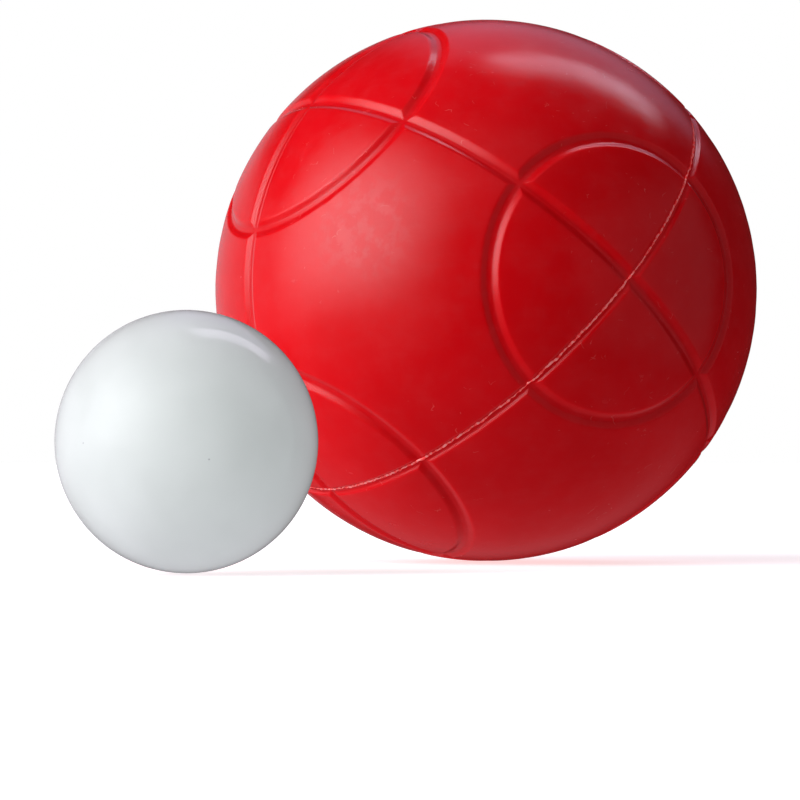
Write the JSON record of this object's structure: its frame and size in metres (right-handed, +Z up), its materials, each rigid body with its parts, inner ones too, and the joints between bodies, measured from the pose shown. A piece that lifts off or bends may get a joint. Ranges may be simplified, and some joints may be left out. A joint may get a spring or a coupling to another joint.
{
  "type": "bocce ball set",
  "caption": "Grooved bocce ball with a welded seam, standing beside its smaller, smooth target ball; both are moulded plastic.",
  "frame": {"origin": "the point where the pallino touches the ground", "axes": "+Z up; seen from the front, looking along +Y, +X is to the right; the large ball stands behind and to the right of the pallino"},
  "size_m": [0.1117, 0.144, 0.0899],
  "materials": {
    "ball_shell": "satin",
    "weld_bead": "satin",
    "filling": "matte",
    "pallino_plastic": "satin"
  },
  "bodies": {
    "pallino": {"pallino": "pallino_plastic"},
    "ball_centre": {"ballast_core": "filling"},
    "bocce_ball": {"ball_upper_shell": "ball_shell", "ball_lower_shell": "ball_shell", "seam_weld": "weld_bead"}
  },
  "joints": [
    {"name": "ball_travel", "type": "slide", "parent": "pallino", "child": "ball_centre", "axis": [0.5084, 0.8611, 0], "range_m": [-0.0315, 0.2515]},
    {"name": "ball_roll", "type": "hinge", "parent": "ball_centre", "child": "bocce_ball", "pos_m": [0.0467, 0.0791, 0.045], "axis": [-0.8611, 0.5084, 0], "range_deg": [-40.2, 320.3]}
  ],
  "couplings": [
    {"joint": "ball_roll", "follows": "ball_travel", "rad_per_m": 22.222}
  ]
}
